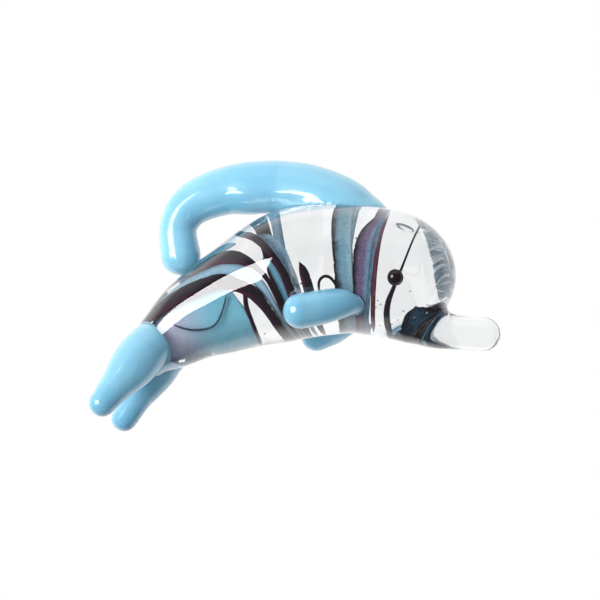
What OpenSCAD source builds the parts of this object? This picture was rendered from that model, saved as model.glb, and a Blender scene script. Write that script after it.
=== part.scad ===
// Crystal glass dolphin, worked at the lamp from solid rods and drops of glass.
// It stands on the two tips of its tail flukes and on the end of its beak.
// X runs from the tail to the beak, Y to the dolphin's left and Z up. The shelf is
// z = 0, and the origin is at the bottom centre of the whole figurine.

/* [Body] */
// Length of the body's centre line along X, from the tail root to the middle of the head
body_length = 39.5; // [33:0.1:48]
// Greatest thickness of the clear body
body_thickness = 21.4; // [17.8:0.1:25.8]
// Rise of the body's centre line from the tail root to the top of the arch
arch_rise = 8; // [6.5:0.1:9.8]
// Height of the tail root's centre above the shelf
tail_height = 10.4; // [8.6:0.1:12.6]

/* [Beak] */
// Diameter of the clear rod that makes the beak
beak_diameter = 5.4; // [4.5:0.1:6.6]
// Distance from the middle of the head to the centre of the beak's round end, along X
beak_reach = 14; // [11.6:0.1:17]

/* [Dorsal fin] */
// Greatest diameter of the fin's rod, where it leaves the back
dorsal_diameter = 9.2; // [7.6:0.1:11.2]
// Greatest height of the rod's centre above the skin, over the loop
dorsal_lift = 8.5; // [7:0.1:10.3]
// Diameter of the rod at the end of the hook, which is melted onto the back
dorsal_tip_diameter = 6.5; // [5.4:0.1:7.8]

/* [Flippers] */
// Diameter of the round end of a flipper
flipper_diameter = 5.6; // [4.6:0.1:6.8]
// Length of a flipper along the body, from its root to the centre of its round end
flipper_length = 9.2; // [7.6:0.1:11.2]
// Height of the round end's centre above the skin
flipper_lift = 2.4; // [2:0.1:3]

/* [Flukes] */
// Distance from the tail root to the fluke tips, along X
fluke_reach = 7.7; // [6.4:0.1:9.3]
// Distance between the centres of the two fluke tips
fluke_spread = 13.6; // [11.2:0.1:16.4]
// Thickness of a fluke in its middle
fluke_diameter = 7.4; // [6:0.1:8.9]
// Diameter of a fluke's tip
fluke_tip_diameter = 4.3; // [3.5:0.1:5.2]

/* [Eyes] */
// Diameter of the melted glass dot that makes an eye
eye_diameter = 2.3; // [1.9:0.1:2.8]
// How far an eye stands proud of the skin
eye_proud = 0.5; // [0.3:0.1:0.7]

/* [Ribbons] */
// Depth of the coloured ribbons under the skin
ribbon_depth = 1.1; // [0.8:0.1:1.4]
// Thickness of a ribbon
ribbon_thickness = 0.5; // [0.4:0.1:0.7]

/* [Hidden] */

clear = [0.9, 0.93, 0.95, 0.35];
sky_blue = [0.47, 0.78, 0.92];
pale_blue = [0.63, 0.75, 0.82];
teal_blue = [0.36, 0.55, 0.64];
aubergine = [0.2, 0.15, 0.22];

// The origin is in the middle between the fluke tips and the end of the beak
whole_length = fluke_tip_diameter / 2 + fluke_reach + body_length + beak_reach + beak_diameter / 2;
fluke_tip_x = fluke_tip_diameter / 2 - whole_length / 2;
tail_x = fluke_tip_x + fluke_reach;
head_x = tail_x + body_length;

// The body's profile: share of its length, share of the arch's rise, then the upper half
// thickness, the lower one and the half width as shares of half the greatest thickness
profile = [
    [0.00, 0.00, 0.39, 0.39, 0.40],
    [0.10, 0.25, 0.51, 0.53, 0.54],
    [0.20, 0.51, 0.61, 0.67, 0.65],
    [0.30, 0.68, 0.69, 0.77, 0.75],
    [0.42, 0.84, 0.81, 0.87, 0.86],
    [0.53, 0.94, 0.92, 0.95, 0.94],
    [0.64, 1.00, 0.99, 0.99, 0.99],
    [0.76, 0.96, 1.00, 0.98, 1.00],
    [0.88, 0.86, 0.98, 0.96, 1.00],
    [1.00, 0.65, 0.95, 0.95, 1.00]
];
last = len(profile) - 1;
// Length of the head's round front, as a share of half the greatest thickness
nose = 1.07;

// Where an eye sits along the body, and its angle from the back
eye_place = 1.058;
eye_angle = 104;
// Clear glass between two layers of ribbons
ribbon_gap = 0.3;
// The first layer that passes under the eyes
under_the_eyes = (eye_diameter - eye_proud + 0.1 - ribbon_depth) / (ribbon_thickness + ribbon_gap);
// The body length that the widths of the ribbons are written for; they shrink and grow with it
written_length = 39.5;
// How far the hook's end sinks into the back where it is melted on
sink = 0.1;
// Least distance between the two flukes
fluke_gap = 0.04;

// Smooth curve through rows of numbers: u counts rows, from 0 to the last
function bend(a, b, c, d, t) =
    0.5 * (2 * b + (c - a) * t + (2 * a - 5 * b + 4 * c - d) * t * t + (3 * b - a - 3 * c + d) * t * t * t);
function row(rows, i) =
    i < 0 ? 2 * rows[0] - rows[1]
    : i > len(rows) - 1 ? 2 * rows[len(rows) - 1] - rows[len(rows) - 2]
    : rows[i];
function along(rows, u) =
    let (i = min(floor(u), len(rows) - 2), t = u - i)
    bend(row(rows, i - 1), row(rows, i), row(rows, i + 1), row(rows, i + 2), t);

// The body's centre line, its direction, and the direction of the back, for s from 0 at the
// tail root to 1 in the middle of the head
function body_row(s) = along(profile, s * last);
function spine(s) =
    let (p = body_row(s))
    [tail_x + p[0] * body_length, 0, tail_height + p[1] * arch_rise];
function heading(s) =
    let (d = spine(s + 0.01) - spine(s - 0.01))
    d / norm(d);
function backward_up(s) =
    let (d = heading(s))
    [-d[2], 0, d[0]];

// A point of the body: angle is 0 on the back, 90 on the right flank and 180 on the belly,
// and inset is its depth under the skin; from s = 1 to 1 + nose_span it runs over the round nose
nose_span = 0.27;
function skin(s, angle, inset = 0) =
    let (
        body_s = min(s, 1),
        turn = 90 * max(s - 1, 0) / nose_span,
        p = body_row(body_s) * body_thickness / 2,
        high = (cos(angle) > 0 ? p[2] : p[3]) - inset,
        wide = p[4] - inset,
        long = nose * body_thickness / 2 - inset
    )
    spine(body_s) + high * cos(angle) * cos(turn) * backward_up(body_s)
    - [0, wide * sin(angle) * cos(turn), 0] + long * sin(turn) * heading(body_s);

// A point of the round tail end: turn is 0 where the end starts and 90 at its pole
function tail_point(angle, turn) =
    let (p = body_row(0) * body_thickness / 2)
    spine(0) + p[2] * cos(angle) * cos(turn) * backward_up(0)
    - [0, p[4] * sin(angle) * cos(turn), 0] - p[4] * sin(turn) * heading(0);

// Closed skin over rings of points, with a flat cap or a pole at each end
module skinned(rings) {
    sides = len(rings[0]);
    count = len(rings);
    points = [for (ring = rings) each ring];
    walls = [
        for (i = [0 : count - 2], j = [0 : sides - 1])
            let (a = i * sides + j, b = i * sides + (j + 1) % sides)
            each [[a, b, a + sides], [b, b + sides, a + sides]]
    ];
    first_cap = [for (j = [1 : sides - 2]) [0, j + 1, j]];
    last_cap = [for (j = [1 : sides - 2]) (count - 1) * sides * [1, 1, 1] + [0, j, j + 1]];
    polyhedron(points, concat(walls, first_cap, last_cap), convexity = 6);
}

// A rod of changing thickness swept along rows of [x, y, z, radius], with round ends
module rod(rows) {
    rings_per_row = 5;
    sides = 16;
    end_turns = [22, 44, 66, 84];
    top = len(rows) - 1;
    function spot(u) = let (p = along(rows, u)) [p[0], p[1], p[2]];
    function way(u) = let (d = spot(min(u + 0.05, top)) - spot(max(u - 0.05, 0))) d / norm(d);
    function ring(u, turn, side) =
        let (
            d = way(u),
            n = cross([0, 1, 0], d) / norm(cross([0, 1, 0], d)),
            m = cross(d, n),
            r = along(rows, u)[3],
            c = spot(u) + side * r * sin(turn) * d
        )
        [for (j = [0 : sides - 1])
            let (a = 360 * j / sides)
            c + r * cos(turn) * (cos(a) * n + sin(a) * m)];
    skinned(concat(
        [for (i = [3 : -1 : 0]) ring(0, end_turns[i], -1)],
        [for (k = [0 : top * rings_per_row]) ring(k / rings_per_row, 0, 1)],
        [for (i = [0 : 3]) ring(top, end_turns[i], 1)]
    ));
}

body_sides = 36;
body_rings = 32;
nose_rings = 8;

module body_solid() {
    function ring(s) = [for (j = [0 : body_sides - 1]) skin(s, -360 * j / body_sides)];
    function tail_ring(turn) = [for (j = [0 : body_sides - 1]) tail_point(-360 * j / body_sides, turn)];
    skinned(concat(
        [for (turn = [85, 65, 45, 22]) tail_ring(turn)],
        [for (k = [0 : body_rings]) ring(k / body_rings)],
        [for (k = [1 : nose_rings]) ring(1 + nose_span * k / (nose_rings + 0.3))]
    ));
}

// Ribbons lie at three depths, so that they pass over each other without touching
module ribbon(rows, layer = 0, rings_per_row = 3) {
    outer = ribbon_depth + layer * (ribbon_thickness + ribbon_gap);
    inner = outer + ribbon_thickness;
    top = len(rows) - 1;
    parts_across = 2;
    // How far a step of one millimetre across the ribbon moves s and the angle
    function across(u) =
        let (
            p = along(rows, u),
            here = skin(p[0], p[1], outer),
            by_s = (skin(p[0] + 0.004, p[1], outer) - here) / 0.004,
            by_angle = skin(p[0], p[1] + 1, outer) - here,
            q = along(rows, min(u + 0.02, top)) - along(rows, max(u - 0.02, 0)),
            way = by_s * q[0] + by_angle * q[1],
            side = cross(way, cross(by_s, by_angle)) / norm(way) / norm(cross(by_s, by_angle)),
            u1 = by_s / norm(by_s),
            u2 = by_angle / norm(by_angle),
            lean = u1 * u2,
            square_lean = 1 - lean * lean,
            a = side * u1,
            b = side * u2
        )
        [(a - b * lean) / square_lean / norm(by_s), (b - a * lean) / square_lean / norm(by_angle)];
    function edge_point(u, share, inset) =
        let (p = along(rows, u), d = across(u) * p[2] * body_length / written_length * share)
        skin(p[0] + d[0], p[1] + d[1], inset);
    skinned([
        for (k = [0 : top * rings_per_row])
            let (u = k / rings_per_row)
            concat(
                [for (j = [0 : parts_across]) edge_point(u, j / parts_across - 0.5, outer)],
                [for (j = [parts_across : -1 : 0]) edge_point(u, j / parts_across - 0.5, inner)]
            )
    ]);
}

// The ribbons and the eyes are melted into the body, which closes round them
module body() {
    color(clear) difference() {
        body_solid();
        eye_right();
        eye_left();
        ribbons();
    }
}

module beak() {
    // From the wide root inside the head down to the thin rod: share of the reach along X,
    // height above the end's centre as a share of the reach, and radius share
    rows = [[0.11, 0.50, 2.12], [0.32, 0.32, 1.65], [0.50, 0.17, 1.24], [0.69, 0.085, 1.02], [1, 0, 1]];
    color(clear) difference() {
        rod([for (p = rows) [
            head_x + p[0] * beak_reach, 0,
            beak_diameter / 2 + p[1] * beak_reach, p[2] * beak_diameter / 2
        ]]);
        body_solid();
    }
}

module dorsal_fin() {
    // Place along the body, height above the skin as a share of the lift, radius share
    rows = [
        [0.90, -0.26, 0.87], [0.84, -0.02, 1.00], [0.745, 0.26, 0.97], [0.67, 0.46, 0.93],
        [0.595, 0.66, 0.93], [0.51, 0.865, 0.85], [0.43, 1.00, 0.78], [0.375, 0.985, 0.71], [0.33, 0.795, 0.66]
    ];
    tip = skin(0.296, 0, sink - dorsal_tip_diameter / 2);
    color(sky_blue) difference() {
        rod(concat(
            [for (p = rows)
                let (c = skin(p[0], 0, -p[1] * dorsal_lift))
                [c[0], 0, c[2], p[2] * dorsal_diameter / 2]],
            [[tip[0], 0, tip[2], dorsal_tip_diameter / 2]]
        ));
        body_solid();
    }
}

// A flipper: rows hold the share of its length, the angle round the body from the back, the
// height above the skin as a share of the lift, and the radius share
module flipper(side, root, rows) {
    color(sky_blue) difference() {
        rod([for (p = rows)
            let (c = skin(root - p[0] * flipper_length / body_length, side * p[1], -p[2] * flipper_lift))
            [c[0], c[1], c[2], p[3] * flipper_diameter / 2]]);
        body_solid();
    }
}

module flipper_right() {
    flipper(1, 0.94, [[0, 136, -0.5, 0.70], [0.2, 134, 0.04, 0.83], [0.5, 133, 0.46, 0.95],
        [0.75, 132, 0.75, 1], [1, 131, 1, 1.01]]);
}

module flipper_left() {
    flipper(-1, 0.91, [[0, 133, -0.7, 0.75], [0.36, 137, -0.2, 0.82], [0.64, 132, 0.5, 0.9],
        [1, 130, 0.94, 0.92]]);
}

// A fluke runs straight from the tail root to its tip on the shelf; rows hold the share of
// its length and the share of its middle thickness. Where the two would meet, each ends at the
// plane between them
module fluke(side, root, swing, rows) {
    start = spine(0) + [root[0], side * root[1], root[2]];
    tip = [fluke_tip_x + swing, side * fluke_spread / 2, fluke_tip_diameter / 2];
    color(sky_blue) difference() {
        rod(concat(
            [for (p = rows)
                let (c = start + p[0] * (tip - start))
                [c[0], c[1], c[2], p[1] * fluke_diameter / 2]],
            [[tip[0], tip[1], tip[2], fluke_tip_diameter / 2]]
        ));
        body_solid();
        translate([fluke_tip_x, side * (fluke_gap - whole_length) / 2, 0])
            cube(whole_length, center = true);
    }
}

module fluke_right() {
    fluke(-1, [0.9, 2.1, 0.4], 0, [[0, 0.97], [0.2, 1.04], [0.42, 0.98], [0.7, 0.74]]);
}

module fluke_left() {
    fluke(1, [2.2, 2, -0.7], 0.7, [[0, 0.86], [0.22, 0.88], [0.44, 0.78], [0.7, 0.62]]);
}

module eye(side) {
    color(aubergine) translate(skin(eye_place, side * eye_angle, eye_diameter / 2 - eye_proud))
        sphere(d = eye_diameter, $fn = 32);
}
module eye_right() { eye(1); }
module eye_left() { eye(-1); }

// Each ribbon runs along rows of [place along the body, angle round it, width]
module ribbon_aubergine_low() {
    color(aubergine) ribbon([
        [0.01, 5, 1.2], [0.10, 33, 2.6], [0.18, 52, 2.9], [0.28, 67, 3], [0.38, 78, 2.6],
        [0.455, 96, 2.2], [0.505, 112, 2.2], [0.535, 135, 1.6], [0.553, 165, 1.6], [0.57, 205, 1.8],
        [0.585, 245, 2], [0.6, 285, 2], [0.615, 330, 1.2]
    ]);
}

module ribbon_aubergine_high() {
    color(aubergine) ribbon([
        [0.01, -110, 1], [0.07, -55, 1.3], [0.13, -25, 1.6], [0.2, 0, 1.8], [0.27, 20, 2],
        [0.34, 35, 2.3], [0.41, 47, 2.5], [0.465, 59, 2.5], [0.51, 72, 1.8], [0.55, 87, 1.1],
        [0.578, 103, 0.8], [0.59, 130, 0.7], [0.602, 165, 0.7], [0.62, 205, 0.8], [0.64, 245, 0.6]
    ]);
}

module ribbon_aubergine_waist() {
    color(aubergine) ribbon([
        [0.12, -165, 1.6], [0.22, -125, 2.2], [0.32, -90, 2.4], [0.4, -60, 2.2], [0.45, -35, 1.6],
        [0.485, -10, 1.1], [0.505, 15, 1], [0.53, 34, 1.2], [0.56, 46, 1.3], [0.59, 60, 1.2],
        [0.617, 76, 1.1], [0.645, 95, 1.2], [0.66, 112, 1.4], [0.672, 140, 1.3], [0.682, 175, 1],
        [0.69, 210, 0.5]
    ]);
}

module ribbon_aubergine_fleck() {
    color(aubergine) ribbon([
        [0.722, 93, 0.4], [0.735, 104, 1.5], [0.745, 120, 1.7], [0.752, 145, 1.4],
        [0.758, 175, 0.9], [0.76, 195, 0.4]
    ]);
}

module ribbon_aubergine_curl() {
    color(aubergine) ribbon([
        [0.785, 124, 0.4], [0.79, 114, 0.45], [0.81, 109.5, 0.5], [0.835, 111, 0.5],
        [0.857, 118, 0.45], [0.87, 127, 0.4]
    ]);
}

module ribbon_tail_edge() {
    color(aubergine) ribbon([
        [0.42, 99, 0.3], [0.455, 100, 0.5], [0.466, 108, 0.7], [0.452, 122, 0.8], [0.445, 145, 0.7],
        [0.438, 175, 0.6], [0.43, 200, 0.4]
    ], layer = 1);
}

module ribbon_tail_thread() {
    color(aubergine) ribbon([
        [0.15, 92, 0.3], [0.17, 108, 0.35], [0.2, 121, 0.4], [0.25, 129, 0.4], [0.3, 130, 0.35],
        [0.34, 122, 0.35], [0.38, 108, 0.3], [0.4, 99, 0.3]
    ], layer = 1);
}

module ribbon_head_band() {
    color(aubergine) ribbon([
        [0.972, -30, 0.9], [0.973, 0, 0.9], [0.972, 30, 1.1], [0.966, 45, 1.6], [0.955, 60, 2.4],
        [0.95, 75, 2.8], [0.953, 90, 2.9], [0.96, 110, 2.7], [0.966, 135, 2.2], [0.97, 160, 2.2],
        [0.96, 190, 2.4], [0.94, 225, 2.4], [0.92, 265, 2.4], [0.93, 300, 1.8], [0.955, 328, 0.9]
    ]);
}

module ribbon_head_red_thread() {
    color([0.4, 0.16, 0.18]) ribbon([
        [1, 25, 0.3], [1.003, 60, 0.4], [1.006, 90, 0.45], [1.009, 120, 0.45],
        [1.008, 150, 0.45], [1.004, 178, 0.35]
    ]);
}

module ribbon_head_line() {
    color(aubergine) ribbon([
        [1.07, -35, 0.3], [1.075, 0, 0.3], [1.085, 30, 0.3], [1.085, 60, 0.3], [1.077, 88, 0.35],
        [1.062, 112, 0.6], [1.045, 135, 0.9], [1.04, 160, 1], [1.045, 185, 0.9], [1.05, 215, 0.4]
    ], layer = max(1, under_the_eyes));
}

module ribbon_pale_blue() {
    color(pale_blue) ribbon([
        [0.01, -18, 1], [0.09, 8, 1.3], [0.2, 34, 1.9], [0.3, 47.5, 2.3], [0.4, 61, 2.4],
        [0.455, 73, 2.2], [0.515, 90, 1.7], [0.55, 110, 1.5], [0.568, 135, 1], [0.582, 165, 0.9],
        [0.6, 205, 1.2], [0.62, 245, 1.4], [0.635, 285, 1.4], [0.65, 330, 0.9]
    ], layer = 1);
}

module ribbon_blue_back() {
    color(teal_blue) ribbon([
        [0.02, -140, 1.4], [0.06, -105, 1.8], [0.1, -76, 2.2], [0.15, -50, 2.4], [0.2, -25, 2.6],
        [0.26, -3, 2.8], [0.32, 12, 2.6], [0.39, 23, 2.4], [0.455, 32, 1.6], [0.5, 40, 0.8]
    ], layer = 1);
}

module ribbon_blue_side() {
    color(teal_blue) ribbon([
        [0.05, -170, 1.8], [0.12, -130, 2.8], [0.2, -95, 3.2], [0.28, -65, 3.2], [0.36, -40, 2.6],
        [0.42, -18, 1.8], [0.455, 0, 0.8]
    ], layer = 1);
}

module ribbon_blue_waist() {
    color(teal_blue) ribbon([
        [0.585, 78, 0.4], [0.605, 88, 1], [0.62, 103, 1.3], [0.632, 118, 1.4], [0.642, 145, 1.2],
        [0.65, 180, 1], [0.66, 215, 0.6]
    ], layer = 1);
}

module ribbon_blue_lens() {
    color(pale_blue) ribbon([
        [0.53, 20, 0.4], [0.565, 36, 0.6], [0.593, 46, 1.2], [0.62, 55, 1.8], [0.643, 67, 2],
        [0.66, 80, 1.8], [0.675, 95, 1.3], [0.69, 112, 1.1], [0.7, 140, 1], [0.71, 175, 0.8],
        [0.715, 210, 0.5]
    ], layer = 2);
}

module ribbon_blue_ring() {
    color(teal_blue) ribbon([
        [0.862, -25, 2.8], [0.862, 0, 2.9], [0.862, 30, 2.9], [0.868, 60, 2.8], [0.885, 90, 2.6],
        [0.898, 115, 2.8], [0.905, 140, 3.4], [0.91, 170, 4.2], [0.895, 205, 4], [0.865, 240, 3.4],
        [0.84, 280, 2.9], [0.85, 322, 2.8]
    ], layer = 1);
}

module ribbon_chin() {
    color(aubergine) ribbon([
        [1.12, 140, 1], [1.12, 152, 4], [1.125, 180, 6], [1.12, 208, 4], [1.12, 220, 1]
    ]);
}

module ribbon_tail_veil() {
    color(teal_blue) ribbon([
        [0.03, 115, 6], [0.1, 117, 9.5], [0.18, 125, 11], [0.3, 140, 12], [0.4, 145, 12],
        [0.45, 146, 11]
    ], layer = 2);
}

module ribbons() {
    ribbon_aubergine_low();
    ribbon_aubergine_high();
    ribbon_aubergine_waist();
    ribbon_aubergine_fleck();
    ribbon_aubergine_curl();
    ribbon_tail_edge();
    ribbon_tail_thread();
    ribbon_head_band();
    ribbon_head_red_thread();
    ribbon_head_line();
    ribbon_pale_blue();
    ribbon_blue_back();
    ribbon_blue_side();
    ribbon_blue_waist();
    ribbon_blue_lens();
    ribbon_blue_ring();
    ribbon_chin();
    ribbon_tail_veil();
}

body();
beak();
dorsal_fin();
flipper_right();
flipper_left();
fluke_right();
fluke_left();
eye_right();
eye_left();
ribbon_aubergine_low();
ribbon_aubergine_high();
ribbon_aubergine_waist();
ribbon_aubergine_fleck();
ribbon_aubergine_curl();
ribbon_tail_edge();
ribbon_tail_thread();
ribbon_head_band();
ribbon_head_red_thread();
ribbon_head_line();
ribbon_pale_blue();
ribbon_blue_back();
ribbon_blue_side();
ribbon_blue_waist();
ribbon_blue_lens();
ribbon_blue_ring();
ribbon_chin();
ribbon_tail_veil();
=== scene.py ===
"""A solid glass dolphin with coloured canes cased inside it, built round the CAD frame."""

import logging
import math
from dataclasses import dataclass, field
from enum import Enum

import bmesh
import bpy
import numpy as np
from mathutils import Matrix, Vector
from mathutils.bvhtree import BVHTree


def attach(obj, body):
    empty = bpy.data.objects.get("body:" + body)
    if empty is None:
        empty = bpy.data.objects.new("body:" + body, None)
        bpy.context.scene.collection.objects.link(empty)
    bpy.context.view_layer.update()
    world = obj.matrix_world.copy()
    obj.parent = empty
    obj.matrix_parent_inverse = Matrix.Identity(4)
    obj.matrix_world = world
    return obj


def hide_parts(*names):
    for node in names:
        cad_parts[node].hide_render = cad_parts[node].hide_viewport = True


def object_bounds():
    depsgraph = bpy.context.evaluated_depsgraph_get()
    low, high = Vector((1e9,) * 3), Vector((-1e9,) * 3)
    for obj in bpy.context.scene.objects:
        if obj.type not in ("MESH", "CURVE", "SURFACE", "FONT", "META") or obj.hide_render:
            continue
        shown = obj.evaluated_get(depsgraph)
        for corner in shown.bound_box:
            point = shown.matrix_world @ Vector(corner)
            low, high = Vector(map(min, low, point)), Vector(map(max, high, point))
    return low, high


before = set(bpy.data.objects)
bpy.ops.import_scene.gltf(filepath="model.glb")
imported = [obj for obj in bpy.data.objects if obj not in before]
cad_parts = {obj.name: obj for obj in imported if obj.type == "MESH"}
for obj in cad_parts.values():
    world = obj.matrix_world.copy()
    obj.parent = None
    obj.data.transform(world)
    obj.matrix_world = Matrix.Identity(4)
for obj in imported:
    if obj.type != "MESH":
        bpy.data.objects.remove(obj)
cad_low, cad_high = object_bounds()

MM = 0.001
GLASS_IOR = 1.5
GLOSS_IOR = 1.75
Colour = tuple[float, float, float]
WHITE: Colour = (1.0, 1.0, 1.0)
log = logging.getLogger("glass_dolphin")


# ---------------------------------------------------------------- curves and meshes


def along(rows: np.ndarray, places: np.ndarray) -> np.ndarray:
    """Read a smooth curve through rows of numbers.

    Args:
        rows: One row of numbers per station.
        places: Where to read it, counted in rows.

    Returns:
        One row for each place.
    """
    last = len(rows) - 1
    padded = np.vstack([2 * rows[0] - rows[1], rows, 2 * rows[-1] - rows[-2]])
    i = np.clip(np.floor(places).astype(int), 0, last - 1)
    t = (places - i)[..., None]
    a, b, c, d = padded[i], padded[i + 1], padded[i + 2], padded[i + 3]
    square, cube = 2 * a - 5 * b + 4 * c - d, 3 * b - a - 3 * c + d
    return 0.5 * (2 * b + (c - a) * t + square * t**2 + cube * t**3)


def unit(vectors: np.ndarray) -> np.ndarray:
    """Scale vectors to length one."""
    return vectors / np.maximum(np.linalg.norm(vectors, axis=-1, keepdims=True), 1e-12)


def smooth_step(low: float, high: float, value: np.ndarray) -> np.ndarray:
    """Ease from 0 at low to 1 at high."""
    t = np.clip((value - low) / (high - low), 0, 1)
    return t * t * (3 - 2 * t)


def tube_faces(rings: int, sides: int) -> list[tuple[int, ...]]:
    """List the faces of a closed tube: quads round it and one cap at each end.

    Args:
        rings: Number of rings.
        sides: Points in each ring.

    Returns:
        Faces as tuples of point numbers.
    """
    faces: list[tuple[int, ...]] = [
        (i * sides + j, i * sides + (j + 1) % sides, (i + 1) * sides + (j + 1) % sides, (i + 1) * sides + j)
        for i in range(rings - 1)
        for j in range(sides)
    ]
    faces.append(tuple(reversed(range(sides))))
    faces.append(tuple(range((rings - 1) * sides, rings * sides)))
    return faces


def make_object(name: str, points_mm: np.ndarray, faces: list[tuple[int, ...]]) -> bpy.types.Object:
    """Make a smooth mesh object with its faces outward.

    Args:
        name: Name of the piece.
        points_mm: Points in millimetres.
        faces: Faces as tuples of point numbers.

    Returns:
        The new object, linked to the scene.
    """
    mesh = bpy.data.meshes.new(name)
    mesh.from_pydata((points_mm * MM).tolist(), [], faces)
    work = bmesh.new()
    work.from_mesh(mesh)
    bmesh.ops.recalc_face_normals(work, faces=work.faces)
    work.to_mesh(mesh)
    work.free()
    mesh.polygons.foreach_set("use_smooth", [True] * len(mesh.polygons))
    piece = bpy.data.objects.new(name, mesh)
    bpy.context.scene.collection.objects.link(piece)
    return piece


def points_of(mesh: bpy.types.Mesh) -> np.ndarray:
    """Read a mesh's points in millimetres.

    Args:
        mesh: The mesh to read, in metres.

    Returns:
        One row of x, y and z for each point.
    """
    flat = np.empty(len(mesh.vertices) * 3, np.float32)
    mesh.vertices.foreach_get("co", flat)
    return flat.reshape(-1, 3).astype(float) / MM


def set_points(mesh: bpy.types.Mesh, points_mm: np.ndarray) -> None:
    """Write a mesh's points in millimetres."""
    mesh.vertices.foreach_set("co", (points_mm * MM).astype(np.float32).ravel())
    mesh.update()


def relax(mesh: bpy.types.Mesh, points: np.ndarray, share: np.ndarray, rounds: int) -> np.ndarray:
    """Even out a surface by moving each point toward the middle of its neighbours.

    Args:
        mesh: The mesh whose edges say which points are neighbours.
        points: Its points.
        share: How far each point moves each time, from 0 to 1.
        rounds: How many times.

    Returns:
        The moved points.
    """
    ends = np.empty(len(mesh.edges) * 2, np.int32)
    mesh.edges.foreach_get("vertices", ends)
    a, b = ends.reshape(-1, 2).T
    count = np.bincount(ends, minlength=len(points))[:, None]
    for _ in range(rounds):
        total = np.zeros_like(points)
        np.add.at(total, a, points[b])
        np.add.at(total, b, points[a])
        points = points + share[:, None] * (total / count - points)
    return points


def surface(points_mm: np.ndarray, faces: list[tuple[int, ...]]) -> BVHTree:
    """Make a search tree over a surface given in millimetres."""
    return BVHTree.FromPolygons([Vector(p) for p in points_mm], faces)


def nearest(tree: BVHTree, points_mm: np.ndarray) -> tuple[np.ndarray, np.ndarray]:
    """Find each point's nearest place on a surface.

    Args:
        tree: The surface.
        points_mm: The points.

    Returns:
        The places, and the distances, which are negative inside the surface.
    """
    places, signed = np.empty_like(points_mm), np.empty(len(points_mm))
    for k, p in enumerate(points_mm):
        spot, normal, _, distance = tree.find_nearest(Vector(p))
        places[k] = spot
        signed[k] = math.copysign(distance, (Vector(p) - spot).dot(normal))
    return places, signed


# ---------------------------------------------------------------- the form of the dolphin


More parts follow.
